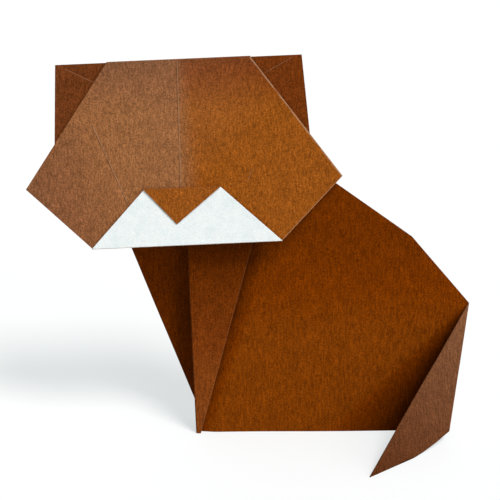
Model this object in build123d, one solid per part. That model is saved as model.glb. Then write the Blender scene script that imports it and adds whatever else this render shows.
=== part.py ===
"""Sitting cat folded from one square sheet of two-coloured paper.

Millimetres, +Z up.  The cat's back runs along X with the chest towards -X.
The face looks towards -Y.  The origin is the bottom centre of its box.
"""
import os
from math import asin, degrees

from build123d import *

# Paper
paper = 0.25            # thickness of the sheet
fold_gap = 0.75         # spacing of two layers at a pressed fold, middle to middle

# Body, seen from the side: X along the back, Z up from the table
foot_x = -15.2          # front fold of the near side, at the table
chest_fold_drift = 2.9  # how far that fold leans forward at the neck
rear_foot_x = 55.0      # back end of both sides at the table
rump_x = 63.0           # lower end of the back fold, where the tail starts
rump_z = 40.2
shoulder_x = 46.0       # upper end of the back fold
shoulder_z = 60.5
neck_z = 85.0           # where the near side meets the back of the head
neck_tuck = 1.0         # how far the neck runs on past that line, pressed against the head
neck_rear_x = 12.5      # rear end of the neck
foot_spread = 10.0      # distance between the two front feet

# Chest flap folded over onto the near side
flap_top_z = 69.0
flap_top_width = 21.2
flap_foot_width = 1.1

# Far side, whose front edge stays unfolded
far_foot_x = -14.2
far_chest_x = -39.5
far_chest_z = 70.0
far_neck_x = -22.0
far_neck_z = 80.0

# Tail, swung round to the near side
tail_heel = Vector(58.2, -9.0, 3.4)
tail_tip_x = 34.5
tail_tip_y = -30.6
tail_bow = 1.9          # how far the tail's lower edge bows out

# Head, measured up and across from the middle of the muzzle's lower edge
head_x = -17.0
head_z = 60.5
head_lean = 12.0        # degrees, top away from the viewer
head_turn = 2.5         # degrees about Z
head_roll = 2.2         # degrees, right side up
head_height = 51.4
crown_half = 19.8       # half of the face's top edge
ear_half = 33.9         # half of the spread of the ears' top corners
ear_foot_half = 35.4    # where the ears go in behind the face
ear_foot_height = 29.0
muzzle_half = 26.6
cheek_height = 17.4     # the cheeks stand at 45 degrees from the muzzle's ends
nose_fold_height = 16.0
muzzle_drift = 0.7      # the nose's fold is a little off centre
nose_tip_drift = 2.6    # and so is the nose's tip
neck_tongue_left = -1.0
neck_tongue_right = 29.5
neck_tongue_height = 24.5


def layer(plane, outline):
    """One flat layer of paper, half its thickness on each side of the plane."""
    return extrude(plane * make_face(Polyline(*outline, close=True)), amount=paper / 2, both=True)


def fold(start, along, outward, towards, length, gap=fold_gap):
    """Round bend that joins two parallel layers along a pressed fold.

    The first layer ends on the line from start.  The second lies a gap away,
    in the direction of towards.  The bend bulges outward.
    """
    section = Plane(origin=start, x_dir=outward, z_dir=along)
    side = 1 if section.y_dir.dot(towards) > 0 else -1
    outer = gap / 2 + paper / 2
    inner = gap / 2 - paper / 2
    ring = Circle(outer) - Circle(inner)
    half = ring & Pos(outer, 0) * Rectangle(2 * outer, 4 * outer)
    return extrude(section * (Pos(0, side * gap / 2) * half), amount=length)


side_view = Plane(origin=(0, 0, 0), x_dir=(1, 0, 0), z_dir=(0, -1, 0))
rump = Vector(rump_x, 0, rump_z)
shoulder = Vector(shoulder_x, 0, shoulder_z)
foot = Vector(foot_x, 0, 0)
back_fold = Axis(shoulder, rump - shoulder)
foot_reach = (foot - shoulder).cross(back_fold.direction).length
opening_angle = degrees(asin(foot_spread / 2 / foot_reach))
below_table = -1.0      # sides are drawn past the table and trimmed to it


def swing(point, angle):
    """A point of the side view, swung about the back fold as the body opens."""
    return shoulder + (point - shoulder).rotate(back_fold, angle)


def near_side():
    """Near side of the body with the chest flap folded over it."""
    slope = chest_fold_drift / neck_z
    neck_top_z = neck_z + neck_tuck
    side = layer(side_view, [
        (foot_x - slope * below_table, below_table), (rear_foot_x, below_table), (rump_x, rump_z),
        (shoulder_x, shoulder_z), (neck_rear_x, neck_top_z), (foot_x - slope * neck_top_z, neck_top_z)])
    along = (Vector(-slope, 0, 1)).normalized()
    outward = Vector(-1, 0, -slope).normalized()
    viewer = Vector(0, -1, 0)
    flap_plane = Plane(origin=(foot_x, -fold_gap, 0), x_dir=-outward, z_dir=viewer)
    flap_length = flap_top_z / along.Z
    flap = layer(flap_plane, [
        (0, below_table), (flap_foot_width, below_table), (flap_top_width, flap_length), (0, flap_length)])
    bend = fold(foot + along * below_table, along, outward, viewer, flap_length - below_table)
    return (side + bend + flap).rotate(back_fold, -opening_angle)


def far_side():
    """Far side of the body, whose brown inside shows past the chest flap."""
    lean = (far_foot_x - far_chest_x) / far_chest_z
    side = layer(side_view, [
        (far_foot_x - lean * below_table, below_table), (rear_foot_x, below_table), (rump_x, rump_z),
        (shoulder_x, shoulder_z), (neck_rear_x, far_neck_z), (far_neck_x, far_neck_z),
        (far_chest_x, far_chest_z)])
    return side.rotate(back_fold, opening_angle)


def tail():
    """Tail flap with a bowed lower edge, and the gusset that joins it to the far side."""
    tip = Vector(tail_tip_x, tail_tip_y, 0)
    far_rear = swing(Vector(rear_foot_x, 0, below_table), opening_angle)
    normal = (tail_heel - rump).cross(tip - rump)
    flap_plane = Plane(origin=rump, x_dir=tip - rump, z_dir=normal)
    heel_flat = flap_plane.to_local_coords(tail_heel)
    tip_flat = flap_plane.to_local_coords(tip)
    inner_edge = Line((0, 0), tip_flat)
    lower_edge = SagittaArc(tip_flat, heel_flat, tail_bow)
    fold_edge = Line(heel_flat, (0, 0))
    flap_face = make_face([inner_edge, lower_edge, fold_edge])
    flap = extrude(flap_plane * flap_face, amount=paper / 2, both=True)
    gusset_plane = Plane(origin=rump, x_dir=tail_heel - rump, z_dir=(tail_heel - rump).cross(far_rear - rump))
    corners = [gusset_plane.to_local_coords(corner) for corner in (rump, tail_heel, far_rear)]
    gusset = layer(gusset_plane, [(corner.X, corner.Y) for corner in corners])
    return flap + gusset


def head():
    """Face with its muzzle and nose folded up in front and the ears' layer behind."""
    tilt = (Location((0, 0, 0), (0, 0, head_turn)) * Location((0, 0, 0), (-head_lean, 0, 0))
            * Location((0, 0, 0), (0, -head_roll, 0)))
    behind = (tilt * Location((0, 1, 0))).position
    neck_middle_x = (neck_rear_x + foot_x - chest_fold_drift) / 2
    neck = swing(Vector(neck_middle_x, 0, neck_z), -opening_angle)
    to_neck = neck - Vector(head_x, 0, head_z)
    head_y = (to_neck.dot(behind) - fold_gap) / behind.Y
    place = Location((head_x, head_y, head_z)) * tilt
    cheek_half = muzzle_half + cheek_height
    peak_half = muzzle_half - nose_fold_height
    left_peak = (-peak_half - muzzle_drift, nose_fold_height)
    right_peak = (peak_half - muzzle_drift, nose_fold_height)
    across = Vector(1, 0, 0)
    upward = Vector(0, 0, 1)
    viewer = Vector(0, -1, 0)
    level = [Plane(origin=(0, -step * fold_gap, 0), x_dir=across, z_dir=viewer) for step in (-1, 0, 1, 2)]
    ears_plane, face_plane, muzzle_plane, nose_plane = level
    ears = layer(ears_plane, [
        (-ear_half, head_height), (ear_half, head_height), (ear_foot_half, ear_foot_height),
        (neck_tongue_right, neck_tongue_height), (neck_tongue_left, neck_tongue_height),
        (-ear_foot_half, ear_foot_height)])
    face = layer(face_plane, [
        (-crown_half, head_height), (crown_half, head_height), (cheek_half, cheek_height),
        (muzzle_half, 0), (-muzzle_half, 0), (-cheek_half, cheek_height)])
    muzzle = layer(muzzle_plane, [(-muzzle_half, 0), (muzzle_half, 0), right_peak, left_peak])
    nose = layer(nose_plane, [left_peak, right_peak, (-nose_tip_drift, nose_fold_height - peak_half)])
    crown_fold = fold(Vector(-crown_half, 0, head_height), across, upward, -viewer, 2 * crown_half)
    chin_fold = fold(Vector(-muzzle_half, 0, 0), across, -upward, viewer, 2 * muzzle_half)
    nose_start = Vector(left_peak[0], -fold_gap, nose_fold_height)
    nose_fold = fold(nose_start, across, upward, viewer, 2 * peak_half)
    folded = ears + crown_fold + face + chin_fold + muzzle + nose_fold + nose
    return place * folded


table_half = 200.0
under_table = Box(2 * table_half, 2 * table_half, table_half, align=(Align.CENTER, Align.CENTER, Align.MAX))
folded_sheet = near_side() + far_side() + tail() + head() - under_table
box = folded_sheet.bounding_box()
middle = box.center()
folded_sheet = Pos(-middle.X, -middle.Y, -box.min.Z) * folded_sheet

os.makedirs("parts", exist_ok=True)
export_step(folded_sheet, "parts/folded_sheet.step")
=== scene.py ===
"""Sitting cat folded from one sheet of brown and white paper, dressed for its render."""
from math import asin, ceil, cos, radians, sin

import bpy
from bpy.props import FloatProperty, FloatVectorProperty, PointerProperty
from mathutils import Matrix, Vector, noise


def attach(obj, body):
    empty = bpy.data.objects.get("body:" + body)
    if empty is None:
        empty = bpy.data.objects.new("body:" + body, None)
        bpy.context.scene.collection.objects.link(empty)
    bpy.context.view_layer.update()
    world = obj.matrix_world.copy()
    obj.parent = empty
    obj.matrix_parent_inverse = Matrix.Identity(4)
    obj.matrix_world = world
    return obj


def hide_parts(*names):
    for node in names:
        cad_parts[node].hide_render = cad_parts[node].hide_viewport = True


bl_info = {
    "name": "Folded Paper Cat",
    "version": (1, 0, 0),
    "blender": (4, 5, 0),
    "location": "3D View > Sidebar > Paper Cat",
    "description": "Folds the paper cat from its cut layers and lights it on a pale table",
    "category": "Object",
}

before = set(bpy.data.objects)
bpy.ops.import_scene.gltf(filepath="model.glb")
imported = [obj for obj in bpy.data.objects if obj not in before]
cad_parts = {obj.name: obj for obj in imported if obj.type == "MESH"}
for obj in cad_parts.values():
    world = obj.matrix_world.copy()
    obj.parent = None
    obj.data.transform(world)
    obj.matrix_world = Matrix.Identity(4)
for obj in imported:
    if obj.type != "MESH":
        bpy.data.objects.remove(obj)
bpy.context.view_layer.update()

MM = 0.001
NODE = "folded_sheet"
BODY = "root"
BROWN, WHITE, EDGE = 0, 1, 2    # material indices on every layer of paper
CREASE_SHADE_AND_WEAR_LAYER = "crease"         # vertex attribute: -1 for painted shade in a crease's groove, 1 for pale wear on its lip
PAINTED_SHEEN_LAYER = "painted_sheen"             # vertex attribute: painted sheen, which greys the brown
DEEP_BROWN_AND_SHADE_LAYER = "depth"           # vertex attribute: up to 1 a deep brown that is partly painted shade; up to 2 darker still, painted shade on the body and tail and a plain darkening on the face and ears

# Making of a layer
CUT_TOLERANCE = 1e-7            # how near a point counts as on a cut
SMOOTH_ANGLE = radians(30)      # sharper edges than this stay crisp
BEND_STEPS = 20                 # sides of a whole tube, half of which is a bend
BEND_FLATNESS = 0.4             # how far a bend stands out, as a share of its radius
CHIN_FLATNESS = 0.1             # the chin is pressed harder
BOW_CORNERS = 7                 # corners along the tail's bowed edge

# Waves of handled paper: height and place in the noise
WAVE_LENGTH = 28 * MM
WAVE_SKEW = 0.37                # second coordinate of a wave's place, as a share of the first
FACE_WAVES = (0.35 * MM, 3.1)
MUZZLE_WAVES = (0.12 * MM, 7.7)
NEAR_WAVES = (0.30 * MM, 1.3)
FAR_WAVES = (0.30 * MM, 5.9)
TAIL_WAVES = (0.25 * MM, 9.4)

# Creases: lines across and up from the middle of the muzzle's edge, and their tone: painted shade in the
# groove, pale wear beside it
GROOVE = (0.22 * MM, 0.08 * MM)             # width and depth of a pressed crease
GROOVE_CUTS = (-1, 0, 1, 2)                 # cuts along a crease, in widths from its middle
PARTING_LOW_U, PARTING_TOP_U = -1.3 * MM, -0.6 * MM
PARTING_TONE = dict(dark=0.8, pale=0.40)
CHEEK_CREASE = (-16.3 * MM, 12.5 * MM), (-24.7 * MM, 34.1 * MM)
CHEEK_TONE = dict(dark=0.75, pale=0.45)
SCUFF = (17.4 * MM, 17.3 * MM), (19.0 * MM, 20.6 * MM)
SCUFF_TONE = dict(dark=0.0, pale=0.18)
EAR_CREASE = (30.9 * MM, 50.3 * MM), (24.0 * MM, 46.7 * MM)
EAR_CREASE_TONE = dict(dark=0.3, pale=0.2)
FLAP_SHADOW = (0.55 * MM, 0.05 * MM)          # groove beside the flap's edge on the near side, holding a painted shadow line
FLAP_SHADOW_OFFSET = 0.5 * MM
FLAP_SHADOW_TONE = dict(dark=0.3, pale=0.0)

# Worn edges: width and strength
FACE_SIDE_WEAR = (0.5 * MM, 0.7)
FACE_LOW_WEAR = (0.3 * MM, 0.5)
FLAP_WEAR = (0.4 * MM, 0.06)

# Layers pressed in along a fold or an edge
NOSE_PRESS = 0.15 * MM
FLAP_PRESS = 0.6 * MM
FLAP_PRESS_REACH = 4.5 * MM

# Deep brown, painted shade and painted sheen of each layer: an even value, or the two ends of a fade
# Face: darker towards the left cheek and the crown, with painted sheen on its left part, beside the middle
# line and at the top
FACE_LEFT_DARKENING = (1.35, 0.10)
FACE_LEFT_SHEEN = (0.70, 0.85)
FACE_TOP_DARKENING = (0.0, 1.25)
FACE_TOP_DARKENING_FROM = 0.70      # share of the head's height where it starts
FACE_TOP_SHEEN = (0.05, 0.40)
FACE_TOP_SHEEN_FROM = 0.6
PARTING_SHEEN = (0.80, 0.05)
PARTING_U = -1.0 * MM           # line between the left of the face, with painted sheen, and the right
PARTING_SHEEN_END = 4.5 * MM     # where the painted sheen beside that line ends
# Ears: darker, most at the left ear, with a little painted sheen
EARS_DARKENING = (1.50, 1.35)
EARS_SHEEN = (0.20, 0.08)
# Nose: a touch of deep brown and of painted sheen
NOSE_DEPTH, NOSE_SHEEN = 0.1, 0.1
# Near side: painted shade under the head, beside the flap's edge and beside the tail
NEAR_SHADE_UNDER_HEAD = (1.24, 0.76)
NEAR_BY_FLAP_SHADE = (1.75, 0.76)
NEAR_BY_FLAP_LOW = 2.0 * MM     # the painted shade starts this far under the flap at the table
NEAR_BY_FLAP_TOP = 2.5 * MM     # and this far past its edge at the top
NEAR_BY_FLAP_REACH = 4.5 * MM
NEAR_BY_TAIL_SHADOW = (1.95, 0.76)
NEAR_BY_TAIL_X = (41.0 * MM, 21.0 * MM)     # ends of that painted shadow at the table, along the back
# Chest flap: painted shadow of the head at its top, painted sheen low down
FLAP_SHADOW_UNDER_HEAD = (0.82, 2.0)
FLAP_SHADOW_UNDER_HEAD_FROM = 0.28          # share of the flap's height where it starts
FLAP_SHEEN = (0.17, 0.0)
FLAP_SHEEN_TO = 0.8              # share of the flap's height where it ends
# Far side: painted shade, darker towards its top
FAR_SHADE = (1.18, 1.50)
# Tail: painted shade, darker towards its tip, and painted sheen that fades towards it
TAIL_SHADE = (1.47, 1.90)
TAIL_SHEEN = (0.70, 0.15)
# Gusset: deep brown with painted sheen
GUSSET_DEPTH, GUSSET_SHEEN = 0.75, 0.3


def size(name, millimetres, description):
    """A length in metres that a user can change in the sidebar."""
    return FloatProperty(
        name=name, description=description, default=millimetres * MM, unit="LENGTH", precision=5)


def turn(name, degrees, description):
    """An angle that a user can change in the sidebar."""
    return FloatProperty(name=name, description=description, default=radians(degrees), subtype="ANGLE")


def tint(name, colour, description):
    """A linear colour that a user can change in the sidebar."""
    return FloatVectorProperty(
        name=name, description=description, default=colour, size=3, subtype="COLOR", min=0.0, max=1.0)


class PaperCatSizes(bpy.types.PropertyGroup):
    """Sizes of the folded sheet, from the drawing's own origin."""
    paper: size("Paper", 0.25, "Thickness of the sheet")
    gap: size("Fold gap", 0.75, "Spacing of two layers at a pressed fold")
    cell: size("Cell", 1.6, "Grid that each layer is cut from")
    origin_x: size("Origin X", 0.6898, "Box centre in the drawing, along the back")
    origin_y: size("Origin Y", -12.6889, "Box centre in the drawing, across the back")
    foot_x: size("Foot", -15.2, "Front fold of the near side at the table")
    chest_drift: size("Chest drift", 2.9, "Forward lean of the front fold at the neck")
    rear_foot_x: size("Rear foot", 55.0, "Back end of both sides at the table")
    rump_x: size("Rump X", 63.0, "Lower end of the back fold")
    rump_z: size("Rump Z", 40.2, "Height of the lower end of the back fold")
    shoulder_x: size("Shoulder X", 46.0, "Upper end of the back fold")
    shoulder_z: size("Shoulder Z", 60.5, "Height of the upper end of the back fold")
    neck_z: size("Neck", 85.0, "Height where the near side meets the head")
    neck_rear_x: size("Neck rear", 12.5, "Rear end of the neck")
    foot_spread: size("Foot spread", 10.0, "Distance between the two front feet")
    flap_top_z: size("Flap top", 69.0, "Height of the chest flap")
    flap_top: size("Flap width", 21.2, "Width of the chest flap at its top")
    flap_foot: size("Flap foot", 1.1, "Width of the chest flap at the table")
    far_foot_x: size("Far foot", -14.2, "Front of the far side at the table")
    far_chest_x: size("Far chest X", -39.5, "Foremost corner of the far side")
    far_chest_z: size("Far chest Z", 70.0, "Height of that corner")
    far_neck_x: size("Far neck X", -22.0, "Front end of the far side's top")
    far_neck_z: size("Far neck Z", 80.0, "Height of the far side's top")
    heel_x: size("Heel X", 58.2, "Lower end of the tail's fold, along the back")
    heel_y: size("Heel Y", -9.0, "Lower end of the tail's fold, across the back")
    heel_z: size("Heel Z", 3.4, "Height of the lower end of the tail's fold")
    tip_x: size("Tail tip X", 34.5, "Tip of the tail, along the back")
    tip_y: size("Tail tip Y", -30.6, "Tip of the tail, across the back")
    tail_bow: size("Tail bow", 1.9, "How far the tail's lower edge bows out")
    head_x: size("Head X", -17.0, "Middle of the muzzle's lower edge")
    head_z: size("Head Z", 60.5, "Height of the muzzle's lower edge")
    head_lean: turn("Head lean", 12.0, "Backward lean of the face")
    head_turn: turn("Head turn", 2.5, "Turn of the face about the vertical")
    head_roll: turn("Head roll", 2.2, "Roll of the face, right side up")
    head_height: size("Head height", 51.4, "From the muzzle's edge to the crown")
    crown: size("Crown", 19.8, "Half of the face's top edge")
    ear: size("Ear", 33.9, "Half of the spread of the ears' corners")
    ear_foot: size("Ear foot", 35.4, "Half spread where the ears go in behind the face")
    ear_foot_v: size("Ear foot height", 29.0, "Height of the ears' lower ends")
    muzzle: size("Muzzle", 26.6, "Half of the muzzle's lower edge")
    cheek_v: size("Cheek height", 17.4, "Height of the cheeks' corners")
    nose_v: size("Nose height", 16.0, "Height of the nose's fold")
    muzzle_drift: size("Muzzle drift", 0.7, "How far the nose's fold is off centre")
    nose_drift: size("Nose drift", 2.6, "How far the nose's tip is off centre")
    nose_short: size("Nose short", 0.6, "How much of the nose's tip is rounded away in folding")
    nose_gap: size("Nose gap", 0.5, "Spacing of the nose over the muzzle, which is pressed hardest")
    tongue_left: size("Tongue left", -1.0, "Left end of the layer's foot behind the face")
    tongue_right: size("Tongue right", 29.5, "Right end of that foot")
    tongue_v: size("Tongue height", 24.5, "Height of that foot")


class PaperCatFinish(bpy.types.PropertyGroup):
    """Colours of the sheet's two faces and its cut edge; the deep brown is partly painted shade and the
    greyer brown is painted sheen.
    """
    brown: tint("Brown side", (0.285, 0.078, 0.0060), "Coloured face of the sheet")
    # Deep brown: the body's tone, partly painted shade
    brown_deep_shade: tint("Deep brown", (0.182, 0.034, 0.0003), "Coloured face where its dye is deepest")
    # Greyer brown: painted sheen
    brown_sheen: tint("Rubbed brown", (0.300, 0.175, 0.0950), "Coloured face where handling has dulled it")
    white: tint("White side", (0.815, 0.860, 0.850), "Bare face of the sheet")
    white_cool: tint("White mottling", (0.720, 0.790, 0.800), "Cool patches on the bare face")
    edge: tint("Cut edge", (0.520, 0.330, 0.200), "Pale core that shows at a cut edge")


def deselect():
    """Leaves edit mode with nothing selected."""
    if bpy.context.object and bpy.context.object.mode != "OBJECT":
        bpy.ops.object.mode_set(mode="OBJECT")
    bpy.ops.object.select_all(action="DESELECT")


def bisect(point, outward, clear, fill=False):
    """Cuts the object being edited along a plane, and clears what lies outward of it if asked."""
    bpy.ops.mesh.select_all(action="SELECT")
    bpy.ops.mesh.bisect(
        plane_co=point, plane_no=outward, clear_outer=clear, use_fill=fill, threshold=CUT_TOLERANCE)


def cut_sheet(name, outline, cell):
    """A flat gridded layer of paper cut to a convex outline, in the layer's own plane."""
    across = [u for u, v in outline]
    up = [v for u, v in outline]
    ring = list(zip(outline, outline[1:] + outline[:1]))
    if sum(u * next_v - next_u * v for (u, v), (next_u, next_v) in ring) < 0:
        ring = [(second, first) for first, second in reversed(ring)]
    side = max(max(across) - min(across), max(up) - min(up)) + 2 * cell
    steps = ceil(side / cell)
    centre = ((min(across) + max(across)) / 2, (min(up) + max(up)) / 2, 0)
    deselect()
    bpy.ops.mesh.primitive_grid_add(x_subdivisions=steps, y_subdivisions=steps, size=side, location=centre)
    piece = bpy.context.object
    piece.name = name
    piece.data.name = name
    bpy.ops.object.transform_apply(location=True)
    bpy.ops.object.mode_set(mode="EDIT")
    for (u, v), (next_u, next_v) in ring:
        bisect((u, v, 0), (next_v - v, u - next_u, 0), clear=True)
    bpy.ops.object.mode_set(mode="OBJECT")
    add_layers(piece)
    return piece


def add_layers(piece):
    """Gives a layer of paper its attributes of painted crease shade and wear, deep brown and painted shade,
    and painted sheen, all at nothing.
    """
    for layer in (CREASE_SHADE_AND_WEAR_LAYER, PAINTED_SHEEN_LAYER, DEEP_BROWN_AND_SHADE_LAYER):
        piece.data.attributes.new(layer, "FLOAT", "POINT")


def fade(start, end, first, second):
    """A value that goes evenly from first to second between two points of a layer."""
    start = Vector(start)
    along = Vector(end) - start

    def value_at(point):
        share = (point.to_2d() - start).dot(along) / along.length_squared
        return first + (second - first) * min(max(share, 0.0), 1.0)
    return value_at


def sweep(corner, start, end, first, second):
    """A value that goes evenly from first to second as the way from a corner turns from start to end."""
    corner = Vector(corner)
    first_way = Vector(start) - corner
    whole = first_way.angle_signed(Vector(end) - corner)

    def value_at(point):
        share = first_way.angle_signed(point.to_2d() - corner, 0.0) / whole
        return first + (second - first) * min(max(share, 0.0), 1.0)
    return value_at


def dye(piece, depth, painted_sheen):
    """Sets a layer's deep brown and painted shade, and its painted sheen, each an even value or a fade."""
    for layer, value in ((DEEP_BROWN_AND_SHADE_LAYER, depth), (PAINTED_SHEEN_LAYER, painted_sheen)):
        shares = piece.data.attributes[layer].data
        for vertex in piece.data.vertices:
            shares[vertex.index].value = value(vertex.co) if callable(value) else value


def score(piece, start, end, width, depth, dark, pale):
    """Presses a crease into a layer along a line: a narrow groove of painted shade with pale wear on the
    fibres beside it.
    """
    start = Vector((*start, 0))
    end = Vector((*end, 0))
    along = (end - start).normalized()
    outward = Vector((along.y, -along.x, 0))
    bpy.context.view_layer.objects.active = piece
    bpy.ops.object.mode_set(mode="EDIT")
    for step in GROOVE_CUTS:
        bisect(start + outward * step * width, outward, clear=False)
    bpy.ops.object.mode_set(mode="OBJECT")
    shade_and_wear = piece.data.attributes[CREASE_SHADE_AND_WEAR_LAYER].data
    reach = (end - start).length
    tolerance = width / 4
    for vertex in piece.data.vertices:
        offset = vertex.co - start
        if -tolerance < offset.dot(along) < reach + tolerance:
            if abs(offset.dot(outward)) < tolerance:
                # The groove is pressed in and carries painted shade
                vertex.co.z -= depth
                shade_and_wear[vertex.index].value = -dark
            elif abs(offset.dot(outward) - width) < tolerance:
                shade_and_wear[vertex.index].value = pale


def wear_edge(piece, start, end, width, wear):
    """Pales a narrow strip along a layer's edge, which runs from start to end with the layer on its left."""
    start = Vector((*start, 0))
    along = (Vector((*end, 0)) - start).normalized()
    inward = Vector((-along.y, along.x, 0))
    bpy.context.view_layer.objects.active = piece
    bpy.ops.object.mode_set(mode="EDIT")
    bisect(start + inward * width, inward, clear=False)
    bpy.ops.object.mode_set(mode="OBJECT")
    shade_and_wear = piece.data.attributes[CREASE_SHADE_AND_WEAR_LAYER].data
    for vertex in piece.data.vertices:
        if (vertex.co - start).dot(inward) < width / 4:
            shade_and_wear[vertex.index].value = wear


def ripple(piece, height, seed):
    """Gives a layer the slight waves of handled paper."""
    for vertex in piece.data.vertices:
        place = vertex.co / WAVE_LENGTH + Vector((seed, seed * WAVE_SKEW, 0))
        vertex.co.z += height * noise.noise(place)


def press(piece, start, end, reach, depth):
    """Presses a layer in along a line, on its left all the way and on its right over a short reach."""
    start = Vector((*start, 0))
    along = (Vector((*end, 0)) - start).normalized()
    outward = Vector((along.y, -along.x, 0))
    for vertex in piece.data.vertices:
        share = min(max((vertex.co - start).dot(outward) / reach, 0.0), 1.0)
        vertex.co.z -= depth * (1 - share * share * (3 - 2 * share))


def bend(name, start, end, centre, radius, keep, flatness=BEND_FLATNESS):
    """Half tube along a fold, pressed nearly flat, in the plane of the layers that it joins."""
    start = Vector(start)
    end = Vector(end)
    deselect()
    bpy.ops.mesh.primitive_cylinder_add(
        vertices=BEND_STEPS, radius=radius, depth=(end - start).length, end_fill_type="NOTHING")
    piece = bpy.context.object
    piece.name = name
    piece.data.name = name
    along = (end - start).normalized()
    outward = Vector(keep).normalized()
    turned = Matrix((outward * flatness, along.cross(outward), along)).transposed().to_4x4()
    middle = (start + end) / 2 + Vector(centre)
    piece.data.transform(Matrix.Translation(middle) @ turned)
    bpy.ops.object.mode_set(mode="EDIT")
    bisect(middle, -outward, clear=True)
    bisect((0, 0, 0), (1, 0, 0), clear=False)
    bpy.ops.object.mode_set(mode="OBJECT")
    add_layers(piece)
    return piece


def thicken(piece, paper, front=BROWN, rim=EDGE):
    """Gives a layer the sheet's thickness, the colours of its front and its edge, and a brown back."""
    for material in (brown_paper(), white_paper(), cut_edge()):
        piece.data.materials.append(material)
    for face in piece.data.polygons:
        face.material_index = front
    bpy.context.view_layer.objects.active = piece
    solid = piece.modifiers.new("Paper", "SOLIDIFY")
    solid.thickness = paper
    solid.offset = 0.0
    solid.material_offset = BROWN - front
    solid.material_offset_rim = rim - front
    bpy.ops.object.modifier_apply(modifier=solid.name)
    piece.select_set(True)
    bpy.ops.object.shade_smooth_by_angle(angle=SMOOTH_ANGLE)
    piece.select_set(False)


def join(name, pieces):
    """Joins layers and their bends into one piece."""
    deselect()
    for piece in pieces:
        piece.select_set(True)
    bpy.context.view_layer.objects.active = pieces[0]
    if len(pieces) > 1:
        bpy.ops.object.join()
    pieces[0].name = name
    pieces[0].data.name = name
    return pieces[0]


def hand_over(piece):
    """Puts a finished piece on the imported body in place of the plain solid."""
    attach(piece, BODY)
    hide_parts(NODE)


def drawing_to_frame(s):
    """From the drawing's origin to the box's bottom centre."""
    return Matrix.Translation((-s.origin_x, -s.origin_y, 0))


LAYER_TO_DRAWING = Matrix(((1, 0, 0, 0), (0, 0, -1, 0), (0, 1, 0, 0), (0, 0, 0, 1)))


def back_fold(s):
    """Ends of the back fold and the angle that each side opens by."""
    rump = Vector((s.rump_x, 0, s.rump_z))
    shoulder = Vector((s.shoulder_x, 0, s.shoulder_z))
    along = (rump - shoulder).normalized()
    reach = (Vector((s.foot_x, 0, 0)) - shoulder).cross(along).length
    return rump, shoulder, along, asin(s.foot_spread / 2 / reach)


def opened(s, angle):
    """Swings one side of the body about the back fold."""
    _, shoulder, along, _ = back_fold(s)
    return Matrix.Translation(shoulder) @ Matrix.Rotation(angle, 4, along) @ Matrix.Translation(-shoulder)


def head_place(s):
    """Place of the face, seated on the neck."""
    tilt = (Matrix.Rotation(s.head_turn, 4, "Z") @ Matrix.Rotation(-s.head_lean, 4, "X")
            @ Matrix.Rotation(-s.head_roll, 4, "Y"))
    behind = (tilt @ Vector((0, 1, 0, 0))).to_3d()
    angle = back_fold(s)[3]
    neck_middle = (s.neck_rear_x + s.foot_x - s.chest_drift) / 2
    neck = opened(s, -angle) @ Vector((neck_middle, 0, s.neck_z))
    head_y = ((neck - Vector((s.head_x, 0, s.head_z))).dot(behind) - s.gap) / behind.y
    return Matrix.Translation((s.head_x, head_y, s.head_z)) @ tilt


def face_tones(s, cheek):
    """Tone of the face: darker towards the left cheek and the crown; painted sheen over the left part, and
    beside the middle line and at the top of the right part.
    """
    left_darkening = fade((-cheek, s.cheek_v), (-s.crown, s.head_height / 2), *FACE_LEFT_DARKENING)
    left_sheen = fade((-cheek, 0), (0, s.head_height / 2), *FACE_LEFT_SHEEN)
    top_darkening = fade((0, FACE_TOP_DARKENING_FROM * s.head_height), (0, s.head_height), *FACE_TOP_DARKENING)
    top_sheen = fade((s.crown, FACE_TOP_SHEEN_FROM * s.head_height), (0, s.head_height), *FACE_TOP_SHEEN)
    parting_sheen = fade((PARTING_U, 0), (PARTING_SHEEN_END, 0), *PARTING_SHEEN)

    def depth(point):
        return max(left_darkening(point), top_darkening(point))

    def painted_sheen(point):
        if point.x < PARTING_U:
            return left_sheen(point)
        return max(top_sheen(point), parting_sheen(point))
    return depth, painted_sheen


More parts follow.
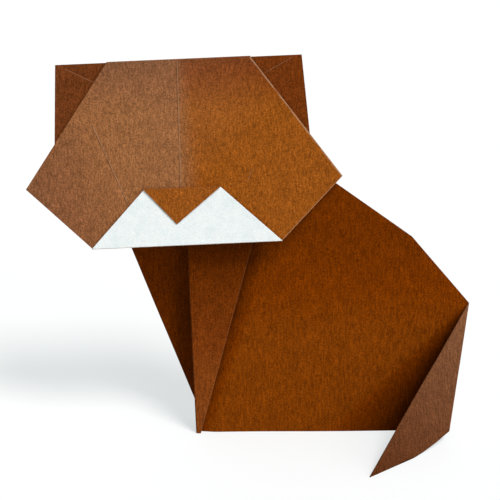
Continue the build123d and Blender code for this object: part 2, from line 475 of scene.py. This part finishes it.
class PAPERCAT_OT_head(bpy.types.Operator):
    """Fold the face, muzzle, nose and ears"""
    bl_idname = "paper_cat.head"
    bl_label = "Fold Head"

    def execute(self, context):
        s = context.scene.paper_cat_sizes
        place = drawing_to_frame(s) @ head_place(s) @ LAYER_TO_DRAWING
        cheek = s.muzzle + s.cheek_v
        peak = s.muzzle - s.nose_v
        peak_left = -peak - s.muzzle_drift
        peak_right = peak - s.muzzle_drift

        face = cut_sheet("face", [
            (-s.muzzle, 0), (s.muzzle, 0), (cheek, s.cheek_v), (s.crown, s.head_height),
            (-s.crown, s.head_height), (-cheek, s.cheek_v)], s.cell)
        parting = (PARTING_LOW_U, s.nose_v), (PARTING_TOP_U, s.head_height)
        score(face, *parting, *GROOVE, **PARTING_TONE)
        score(face, *CHEEK_CREASE, *GROOVE, **CHEEK_TONE)
        score(face, *SCUFF, *GROOVE, **SCUFF_TONE)
        wear_edge(face, (cheek, s.cheek_v), (s.crown, s.head_height), *FACE_SIDE_WEAR)
        wear_edge(face, (s.muzzle, 0), (cheek, s.cheek_v), *FACE_LOW_WEAR)
        ripple(face, *FACE_WAVES)

        ears = cut_sheet("ears", [
            (s.tongue_left, s.tongue_v), (s.tongue_right, s.tongue_v), (s.ear_foot, s.ear_foot_v),
            (s.ear, s.head_height), (-s.ear, s.head_height), (-s.ear_foot, s.ear_foot_v)], s.cell)
        for side in (-1, 1):
            crease = [(side * u, v) for u, v in EAR_CREASE]
            score(ears, *crease, *GROOVE, **EAR_CREASE_TONE)
        ears.data.transform(Matrix.Translation((0, 0, -s.gap)))

        muzzle = cut_sheet("muzzle", [
            (-s.muzzle, 0), (s.muzzle, 0), (peak_right, s.nose_v), (peak_left, s.nose_v)], s.cell)
        ripple(muzzle, *MUZZLE_WAVES)
        muzzle.data.transform(Matrix.Translation((0, 0, s.gap)))

        nose_tip_v = s.nose_v - peak + s.nose_short
        nose = cut_sheet("nose", [
            (-s.nose_drift, nose_tip_v), (peak_right, s.nose_v), (peak_left, s.nose_v)], s.cell)
        press(nose, (peak_right, nose_tip_v), (peak_left, nose_tip_v), reach=peak, depth=NOSE_PRESS)
        nose.data.transform(Matrix.Translation((0, 0, s.gap + s.nose_gap)))

        half = s.gap / 2
        crown_bend = bend("crown_bend", (-s.crown, s.head_height, 0), (s.crown, s.head_height, 0),
                          (0, 0, -half), half, (0, 1, 0))
        chin_bend = bend("chin_bend", (-s.muzzle, 0, 0), (s.muzzle, 0, 0), (0, 0, half), half, (0, -1, 0),
                         flatness=CHIN_FLATNESS)
        nose_bend = bend("nose_bend", (peak_left, s.nose_v, s.gap), (peak_right, s.nose_v, s.gap),
                         (0, 0, s.nose_gap / 2), s.nose_gap / 2, (0, 1, 0))

        for piece in (face, crown_bend):
            # Face: darker towards the left cheek and crown, with painted sheen
            dye(piece, *face_tones(s, cheek))
        ear_tips = (-s.ear, 0), (s.ear, 0)
        # Ears: darker, most at the left ear, with a little painted sheen
        dye(ears, fade(*ear_tips, *EARS_DARKENING), fade(*ear_tips, *EARS_SHEEN))
        for piece in (nose, nose_bend):
            # Nose: a touch of deep brown and of painted sheen
            dye(piece, NOSE_DEPTH, NOSE_SHEEN)
        for piece in (face, ears, muzzle, nose, crown_bend, chin_bend, nose_bend):
            thicken(piece, s.paper, front=WHITE if piece in (muzzle, chin_bend) else BROWN)
            piece.data.transform(place)
        hand_over(join("face", [face, crown_bend]))
        hand_over(join("ears", [ears]))
        hand_over(join("muzzle", [muzzle, chin_bend]))
        hand_over(join("nose", [nose, nose_bend]))
        return {"FINISHED"}


def near_painted_shade(s, edge_foot, edge_top):
    """Near side: deep brown, with painted shade under the head, beside the flap's edge and beside the tail.
    """
    shade_under_head = fade((0, s.shoulder_z), (0, s.shoulder_z / 2), *NEAR_SHADE_UNDER_HEAD)
    low = Vector(edge_foot) - Vector((NEAR_BY_FLAP_LOW, 0))
    along = (Vector(edge_top) + Vector((NEAR_BY_FLAP_TOP, 0)) - low).normalized()
    outward = Vector((along.y, -along.x))
    shade_by_flap = fade(low, low + NEAR_BY_FLAP_REACH * outward, *NEAR_BY_FLAP_SHADE)
    first, last = [(x, 0) for x in NEAR_BY_TAIL_X]
    shadow_by_tail = sweep((s.rump_x, s.rump_z), first, last, *NEAR_BY_TAIL_SHADOW)
    return lambda point: max(shade_under_head(point), shade_by_flap(point), shadow_by_tail(point))


class PAPERCAT_OT_body(bpy.types.Operator):
    """Fold the two standing sides and the chest flap"""
    bl_idname = "paper_cat.body"
    bl_label = "Fold Body"

    def execute(self, context):
        s = context.scene.paper_cat_sizes
        angle = back_fold(s)[3]
        near_place = drawing_to_frame(s) @ opened(s, -angle) @ LAYER_TO_DRAWING
        far_place = drawing_to_frame(s) @ opened(s, angle) @ LAYER_TO_DRAWING
        slope = s.chest_drift / s.neck_z

        near = cut_sheet("near_side", [
            (s.foot_x, 0), (s.rear_foot_x, 0), (s.rump_x, s.rump_z), (s.shoulder_x, s.shoulder_z),
            (s.neck_rear_x, s.neck_z), (s.foot_x - slope * s.neck_z, s.neck_z)], s.cell)
        ripple(near, *NEAR_WAVES)

        flap_top_x = s.foot_x - slope * s.flap_top_z
        flap_edge = (s.foot_x + s.flap_foot, 0), (flap_top_x + s.flap_top, s.flap_top_z)
        press(near, *flap_edge, reach=FLAP_PRESS_REACH, depth=FLAP_PRESS)
        # A painted shadow line beside the flap's edge, in a shallow groove
        shadow_line = [(u + FLAP_SHADOW_OFFSET, v) for u, v in flap_edge]
        score(near, *shadow_line, *FLAP_SHADOW, **FLAP_SHADOW_TONE)
        flap = cut_sheet("chest_flap", [
            (s.foot_x, 0), *flap_edge, (flap_top_x, s.flap_top_z)], s.cell)
        wear_edge(flap, *flap_edge, *FLAP_WEAR)
        flap.data.transform(Matrix.Translation((0, 0, s.gap)))
        chest_bend = bend("chest_bend", (s.foot_x, 0, 0), (flap_top_x, s.flap_top_z, 0),
                          (0, 0, s.gap / 2), s.gap / 2, (-1, -slope, 0))

        lean = (s.far_foot_x - s.far_chest_x) / s.far_chest_z
        far = cut_sheet("far_side", [
            (s.far_foot_x, 0), (s.rear_foot_x, 0), (s.rump_x, s.rump_z), (s.shoulder_x, s.shoulder_z),
            (s.neck_rear_x, s.far_neck_z), (s.far_neck_x, s.far_neck_z),
            (s.far_foot_x - lean * s.far_chest_z, s.far_chest_z)], s.cell)
        ripple(far, *FAR_WAVES)

        # Near side: deep brown, with painted shade under the head, beside the flap's edge and beside the
        # tail
        dye(near, near_painted_shade(s, *flap_edge), 0.0)
        # Chest flap: painted shadow of the head at its top, painted sheen low down
        flap_shadow = fade((0, FLAP_SHADOW_UNDER_HEAD_FROM * s.flap_top_z), (0, s.flap_top_z), *FLAP_SHADOW_UNDER_HEAD)
        flap_sheen = fade((0, 0), (0, FLAP_SHEEN_TO * s.flap_top_z), *FLAP_SHEEN)
        for piece in (flap, chest_bend):
            dye(piece, flap_shadow, flap_sheen)
        # Far side: painted shade, darker towards its top
        dye(far, fade((0, 0), (0, s.far_chest_z), *FAR_SHADE), 0.0)
        for piece in (near, flap, chest_bend):
            thicken(piece, s.paper, rim=BROWN)
            piece.data.transform(near_place)
        thicken(far, s.paper, rim=BROWN)
        far.data.transform(far_place)
        for name, pieces in (("near_side", [near]), ("chest_flap", [flap, chest_bend]), ("far_side", [far])):
            piece = join(name, pieces)
            trim_at_table(piece)
            hand_over(piece)
        return {"FINISHED"}


class PAPERCAT_OT_tail(bpy.types.Operator):
    """Fold the tail and the gusset behind it"""
    bl_idname = "paper_cat.tail"
    bl_label = "Fold Tail"

    def execute(self, context):
        s = context.scene.paper_cat_sizes
        rump, _, _, angle = back_fold(s)
        heel = Vector((s.heel_x, s.heel_y, s.heel_z))
        tip = Vector((s.tip_x, s.tip_y, 0))
        far_rear = opened(s, angle) @ Vector((s.rear_foot_x, 0, 0))

        tail_plane = corner_plane(rump, tip, heel)
        heel_flat = tail_plane.inverted() @ heel
        tip_flat = tail_plane.inverted() @ tip
        arc = bowed_edge(heel_flat.to_2d(), tip_flat.to_2d(), s.tail_bow)
        tail = cut_sheet("tail", [(0, 0), *arc], s.cell)
        ripple(tail, *TAIL_WAVES)
        tail_end = tip_flat.to_2d()
        # Tail: painted shade, darker towards its tip, and painted sheen that fades towards it
        dye(tail, fade((0, 0), tail_end, *TAIL_SHADE), fade((0, 0), tail_end, *TAIL_SHEEN))
        thicken(tail, s.paper, rim=BROWN)
        tail.data.transform(drawing_to_frame(s) @ tail_plane)

        gusset_plane = corner_plane(rump, heel, far_rear)
        corners = [(gusset_plane.inverted() @ corner).to_2d() for corner in (rump, far_rear, heel)]
        gusset = cut_sheet("gusset", [tuple(corner) for corner in corners], s.cell)
        # Gusset: deep brown with painted sheen
        dye(gusset, GUSSET_DEPTH, GUSSET_SHEEN)
        thicken(gusset, s.paper)
        gusset.data.transform(drawing_to_frame(s) @ gusset_plane)
        for name, piece in (("tail", tail), ("gusset", gusset)):
            trim_at_table(piece)
            hand_over(join(name, [piece]))
        return {"FINISHED"}


def corner_plane(origin, first, second):
    """Plane of three corners, with its faces' order seen from the side that shows."""
    along = (first - origin).normalized()
    normal = along.cross(second - origin).normalized()
    if normal.y > 0:
        normal = -normal
    across = normal.cross(along)
    return Matrix.Translation(origin) @ Matrix((along, across, normal)).transposed().to_4x4()


def bowed_edge(start, end, bow):
    """Corners along a shallow arc from start to end, bowed away from the origin."""
    chord = end - start
    outward = Vector((chord.y, -chord.x)).normalized()
    if outward.dot(start) < 0:
        outward = -outward
    points = []
    for step in range(BOW_CORNERS):
        share = step / (BOW_CORNERS - 1)
        point = start + chord * share + outward * bow * 4 * share * (1 - share)
        points.append(tuple(point))
    return points


def trim_at_table(piece):
    """Cuts away what a bowed or leaning edge would put below the table."""
    deselect()
    bpy.context.view_layer.objects.active = piece
    bpy.ops.object.mode_set(mode="EDIT")
    bisect((0, 0, 0), (0, 0, -1), clear=True, fill=True)
    bpy.ops.object.mode_set(mode="OBJECT")


# Grain of the paper, as noise in the sheet's own coordinates
GRAIN_RANGE = (0.30, 0.70)      # range that the noise's values mostly keep to
GRAIN_ROUGHNESS = 0.6
BROWN_CLOUDS = dict(scale=260, detail=5)
BROWN_FIBRES = dict(scale=2300, detail=3, stretch=(1, 1, 0.16))
BROWN_SPECKS = dict(scale=2700, detail=2)
CLOUD_SPREAD, FIBRE_SPREAD, SPECK_SPREAD = 0.10, 0.30, 0.42
WHITE_CLOUDS = dict(scale=330, detail=4)
WHITE_CRUMPLES = dict(scale=110, detail=2)
WHITE_SPECKS = dict(scale=2600, detail=2)
WHITE_SPREAD = 0.07
EDGE_GRAIN = dict(scale=1800, detail=2)

# Finish of the paper
SHEEN = 0.01                    # the paper is almost without gloss
DARKEST_PAINTED_SHADE = 0.35                  # brightness left where the painted shade is darkest
PAINTED_SHEEN_SHARE = 0.5              # share of the greyer brown at full painted sheen
GROOVE_SHADE = 0.4              # brightness left by the painted shade in a crease's groove
BROWN_ROUGHNESS = (0.46, 0.60)
FIBRE_RELIEF, SPECK_RELIEF = 0.035 * MM, 0.015 * MM
COOL_RANGE = (0.42, 0.72)       # noise over which the white turns cool
COOL_SHARE = 0.8
WHITE_ROUGHNESS = (0.55, 0.68)
CRUMPLE_RELIEF = 0.10 * MM
EDGE_RANGE = (0.35, 0.65)       # noise over which the cut edge turns brown
EDGE_BROWN_SHARE = 0.7
EDGE_ROUGHNESS = (0.7, 0.85)
EDGE_RELIEF = 0.02 * MM
MIX_SHARE, MIX_FIRST, MIX_SECOND, MIX_COLOUR = 0, 6, 7, 2   # colour sockets of a Mix node


def nodes_of(name):
    """A new node material, or None where it is already made."""
    if name in bpy.data.materials:
        return None
    material = bpy.data.materials.new(name)
    material.use_nodes = True
    return material.node_tree


def add(tree, kind, **values):
    """One node, with its properties or input values set by name."""
    node = tree.nodes.new(kind)
    for key, value in values.items():
        if key in node.inputs:
            node.inputs[key].default_value = value
        else:
            setattr(node, key, value)
    return node


def mottle(tree, scale, detail, stretch=(1, 1, 1)):
    """Noise over the sheet in object coordinates, as a value from 0 to 1."""
    coordinates = add(tree, "ShaderNodeTexCoord")
    mapping = add(tree, "ShaderNodeMapping", Scale=stretch)
    cloud = add(tree, "ShaderNodeTexNoise", Scale=scale, Detail=detail, Roughness=GRAIN_ROUGHNESS)
    tree.links.new(coordinates.outputs["Object"], mapping.inputs["Vector"])
    tree.links.new(mapping.outputs["Vector"], cloud.inputs["Vector"])
    return cloud.outputs["Fac"]


def span(tree, value, low, high, out_low, out_high):
    """Maps a value's middle range onto another range."""
    node = add(tree, "ShaderNodeMapRange")
    node.inputs["From Min"].default_value = low
    node.inputs["From Max"].default_value = high
    node.inputs["To Min"].default_value = out_low
    node.inputs["To Max"].default_value = out_high
    tree.links.new(value, node.inputs["Value"])
    return node.outputs["Result"]


def blend_colour(tree, share, first, second):
    """Mixes two colours, each a value or a socket."""
    node = add(tree, "ShaderNodeMix", data_type="RGBA")
    for index, colour in ((MIX_FIRST, first), (MIX_SECOND, second)):
        if isinstance(colour, bpy.types.NodeSocket):
            tree.links.new(colour, node.inputs[index])
        else:
            node.inputs[index].default_value = (*colour, 1)
    tree.links.new(share, node.inputs[MIX_SHARE])
    return node.outputs[MIX_COLOUR]


def shade(tree, colour, level):
    """Makes a colour lighter or darker by a socket's value."""
    node = add(tree, "ShaderNodeMix", data_type="RGBA", blend_type="MULTIPLY")
    node.inputs[MIX_SHARE].default_value = 1.0
    tree.links.new(colour, node.inputs[MIX_FIRST])
    tree.links.new(level, node.inputs[MIX_SECOND])
    return node.outputs[MIX_COLOUR]


def paper_surface(tree, colour, roughness, bumps):
    """Links colour, roughness and fine bump to a material's shader."""
    shader = tree.nodes["Principled BSDF"]
    shader.inputs["Specular IOR Level"].default_value = SHEEN
    tree.links.new(colour, shader.inputs["Base Color"])
    tree.links.new(roughness, shader.inputs["Roughness"])
    normal = None
    for height, depth in bumps:
        bump = add(tree, "ShaderNodeBump", Strength=1.0, Distance=depth)
        tree.links.new(height, bump.inputs["Height"])
        if normal:
            tree.links.new(normal, bump.inputs["Normal"])
        normal = bump.outputs["Normal"]
    tree.links.new(normal, shader.inputs["Normal"])


def brown_paper():
    """Coloured face of the sheet: mottled brown with fine upright fibres, deep brown and painted shade,
    painted sheen, and creases with painted shade and pale wear.
    """
    tree = nodes_of("brown_side")
    if not tree:
        return bpy.data.materials["brown_side"]
    finish = bpy.context.scene.paper_cat_finish
    clouds = mottle(tree, **BROWN_CLOUDS)
    fibres = mottle(tree, **BROWN_FIBRES)
    specks = mottle(tree, **BROWN_SPECKS)
    # Deep brown up to 1, partly painted shade; painted shade darkens it further up to 2
    deep = add(tree, "ShaderNodeAttribute", attribute_name=DEEP_BROWN_AND_SHADE_LAYER)
    deep_shade_share = span(tree, deep.outputs["Fac"], 0.0, 1.0, 0.0, 1.0)
    colour = blend_colour(tree, deep_shade_share, tuple(finish.brown), tuple(finish.brown_deep_shade))
    colour = shade(tree, colour, span(tree, deep.outputs["Fac"], 1.0, 2.0, 1.0, DARKEST_PAINTED_SHADE))
    # Painted sheen: greys the brown
    painted_sheen = add(tree, "ShaderNodeAttribute", attribute_name=PAINTED_SHEEN_LAYER)
    sheen_share = span(tree, painted_sheen.outputs["Fac"], 0.0, 1.0, 0.0, PAINTED_SHEEN_SHARE)
    colour = blend_colour(tree, sheen_share, colour, tuple(finish.brown_sheen))
    for grain, spread in ((clouds, CLOUD_SPREAD), (fibres, FIBRE_SPREAD), (specks, SPECK_SPREAD)):
        colour = shade(tree, colour, span(tree, grain, *GRAIN_RANGE, 1 - spread, 1 + spread))
    # Creases: pale wear on the lip, painted shade in the groove
    shade_and_wear = add(tree, "ShaderNodeAttribute", attribute_name=CREASE_SHADE_AND_WEAR_LAYER)
    pale = span(tree, shade_and_wear.outputs["Fac"], 0.0, 1.0, 0.0, 1.0)
    colour = blend_colour(tree, pale, colour, tuple(finish.edge))
    colour = shade(tree, colour, span(tree, shade_and_wear.outputs["Fac"], -1.0, 0.0, GROOVE_SHADE, 1.0))
    roughness = span(tree, clouds, *GRAIN_RANGE, *BROWN_ROUGHNESS)
    paper_surface(tree, colour, roughness, [(fibres, FIBRE_RELIEF), (specks, SPECK_RELIEF)])
    return bpy.data.materials["brown_side"]


def white_paper():
    """Bare face of the sheet: cool white with faint mottling and crumples."""
    tree = nodes_of("white_side")
    if not tree:
        return bpy.data.materials["white_side"]
    finish = bpy.context.scene.paper_cat_finish
    clouds = mottle(tree, **WHITE_CLOUDS)
    crumples = mottle(tree, **WHITE_CRUMPLES)
    specks = mottle(tree, **WHITE_SPECKS)
    share = span(tree, clouds, *COOL_RANGE, 0.0, COOL_SHARE)
    colour = blend_colour(tree, share, tuple(finish.white), tuple(finish.white_cool))
    colour = shade(tree, colour, span(tree, specks, *GRAIN_RANGE, 1 - WHITE_SPREAD, 1 + WHITE_SPREAD))
    roughness = span(tree, clouds, *GRAIN_RANGE, *WHITE_ROUGHNESS)
    paper_surface(tree, colour, roughness, [(crumples, CRUMPLE_RELIEF), (specks, SPECK_RELIEF)])
    return bpy.data.materials["white_side"]


def cut_edge():
    """Pale core of the sheet at a cut edge."""
    tree = nodes_of("cut_edge")
    if not tree:
        return bpy.data.materials["cut_edge"]
    finish = bpy.context.scene.paper_cat_finish
    grain = mottle(tree, **EDGE_GRAIN)
    share = span(tree, grain, *EDGE_RANGE, 0.0, EDGE_BROWN_SHARE)
    colour = blend_colour(tree, share, tuple(finish.edge), tuple(finish.brown))
    roughness = span(tree, grain, *GRAIN_RANGE, *EDGE_ROUGHNESS)
    paper_surface(tree, colour, roughness, [(grain, EDGE_RELIEF)])
    return bpy.data.materials["cut_edge"]


VIEW_AZIMUTH = radians(1.5)
VIEW_ELEVATION = radians(22.0)
VIEW_DISTANCE = 0.52
VIEW_POINT = Vector((-0.00065, 0.0221, 0.052))
VIEW_LENS = 129.2
SENSOR = 36.0
KEY_FROM = Vector((0.34, -0.40, 0.85))      # towards the key light
KEY_WIDTH = radians(18.0)
KEY_STRENGTH = 2.3
SIDE_FROM = Vector((0.72, -0.62, 0.31))     # towards the low light on the right
SIDE_WIDTH = radians(60.0)
SIDE_STRENGTH = 1.4
REAR_FROM = Vector((-0.35, 0.80, 0.48))     # towards the weak light behind the cat
REAR_WIDTH = radians(90.0)
REAR_STRENGTH = 0.5
SKY_STRENGTH = 0.28
TABLE_SIZE = 6.0
TABLE_ROUGHNESS = 0.8
TABLE_SEEN = (1.00, 0.95, 0.95)             # the table as the camera sees it, before its glow
TABLE_BOUNCE = (0.40, 0.40, 0.39)           # the table as it lights the paper
TABLE_TINT = (0.94, 1.0, 1.0)               # cool tone that is left in the shadow
TABLE_GLOW = 0.60                           # share of the table's white that no shadow takes away


class PAPERCAT_OT_stage(bpy.types.Operator):
    """Set the pale table, the soft lights and the camera"""
    bl_idname = "paper_cat.stage"
    bl_label = "Set Stage"

    def execute(self, context):
        table()
        sky(context.scene)
        lamp("key", KEY_FROM, KEY_WIDTH, KEY_STRENGTH)
        lamp("side", SIDE_FROM, SIDE_WIDTH, SIDE_STRENGTH)
        lamp("rear", REAR_FROM, REAR_WIDTH, REAR_STRENGTH)
        aim_camera(context.scene)
        context.scene.view_settings.view_transform = "Standard"
        return {"FINISHED"}


def background_rays(tree):
    """1 for the rays that show the background, 0 for those that light the paper."""
    rays = add(tree, "ShaderNodeLightPath")
    share = rays.outputs["Is Camera Ray"]
    for kind in ("Is Glossy Ray", "Is Transmission Ray"):
        either = add(tree, "ShaderNodeMath", operation="MAXIMUM")
        tree.links.new(share, either.inputs[0])
        tree.links.new(rays.outputs[kind], either.inputs[1])
        share = either.outputs["Value"]
    return share


def table():
    """Wide white table that keeps the cat's soft shadow."""
    deselect()
    bpy.ops.mesh.primitive_plane_add(size=TABLE_SIZE)
    top = bpy.context.object
    top.name = "table"
    tree = nodes_of("table_white")
    shader = tree.nodes["Principled BSDF"]
    shader.inputs["Roughness"].default_value = TABLE_ROUGHNESS
    seen = background_rays(tree)
    tree.links.new(blend_colour(tree, seen, TABLE_BOUNCE, TABLE_SEEN), shader.inputs["Base Color"])
    glow = add(tree, "ShaderNodeEmission", Color=(*TABLE_TINT, 1), Strength=1.0)
    share = add(tree, "ShaderNodeMath", operation="MULTIPLY")
    share.inputs[1].default_value = TABLE_GLOW
    tree.links.new(seen, share.inputs[0])
    mixed = add(tree, "ShaderNodeMixShader")
    tree.links.new(share.outputs["Value"], mixed.inputs["Fac"])
    tree.links.new(shader.outputs["BSDF"], mixed.inputs[1])
    tree.links.new(glow.outputs["Emission"], mixed.inputs[2])
    tree.links.new(mixed.outputs["Shader"], tree.nodes["Material Output"].inputs["Surface"])
    top.data.materials.append(bpy.data.materials["table_white"])


def sky(scene):
    """Even light from all round, which shows as plain white."""
    world = bpy.data.worlds.new("studio")
    scene.world = world
    world.use_nodes = True
    back = world.node_tree.nodes["Background"]
    back.inputs["Color"].default_value = (1.0, 1.0, 1.0, 1)
    level = span(world.node_tree, background_rays(world.node_tree), 0.0, 1.0, SKY_STRENGTH, 1.0)
    world.node_tree.links.new(level, back.inputs["Strength"])


def lamp(name, towards, width, strength):
    """Wide, even light from one direction."""
    data = bpy.data.lights.new(name, "SUN")
    data.energy = strength
    data.angle = width
    light = bpy.data.objects.new(name, data)
    light.rotation_euler = (-towards).to_track_quat("-Z", "Y").to_euler()
    bpy.context.scene.collection.objects.link(light)


def aim_camera(scene):
    """Camera at the photograph's viewing angle."""
    data = bpy.data.cameras.new("camera")
    data.lens = VIEW_LENS
    data.sensor_width = SENSOR
    camera = bpy.data.objects.new("camera", data)
    forward = Vector((-sin(VIEW_AZIMUTH) * cos(VIEW_ELEVATION),
                      cos(VIEW_AZIMUTH) * cos(VIEW_ELEVATION), -sin(VIEW_ELEVATION)))
    camera.location = VIEW_POINT - forward * VIEW_DISTANCE
    camera.rotation_euler = forward.to_track_quat("-Z", "Y").to_euler()
    scene.collection.objects.link(camera)
    scene.camera = camera


class PAPERCAT_PT_sidebar(bpy.types.Panel):
    """Steps that fold the cat, with its sizes and colours"""
    bl_label = "Paper Cat"
    bl_idname = "PAPERCAT_PT_sidebar"
    bl_space_type = "VIEW_3D"
    bl_region_type = "UI"
    bl_category = "Paper Cat"

    def draw(self, context):
        for step in STEPS:
            self.layout.operator(step.bl_idname)
        for group in (context.scene.paper_cat_sizes, context.scene.paper_cat_finish):
            for key in group.__annotations__:
                self.layout.prop(group, key)


STEPS = (PAPERCAT_OT_head, PAPERCAT_OT_body, PAPERCAT_OT_tail, PAPERCAT_OT_stage)
CLASSES = (PaperCatSizes, PaperCatFinish, *STEPS, PAPERCAT_PT_sidebar)


def register():
    for each in CLASSES:
        bpy.utils.register_class(each)
    bpy.types.Scene.paper_cat_sizes = PointerProperty(type=PaperCatSizes)
    bpy.types.Scene.paper_cat_finish = PointerProperty(type=PaperCatFinish)


def unregister():
    del bpy.types.Scene.paper_cat_finish
    del bpy.types.Scene.paper_cat_sizes
    for each in reversed(CLASSES):
        bpy.utils.unregister_class(each)


def main():
    register()
    bpy.ops.paper_cat.head()
    bpy.ops.paper_cat.body()
    bpy.ops.paper_cat.tail()
    bpy.ops.paper_cat.stage()


if __name__ == "__main__":
    main()
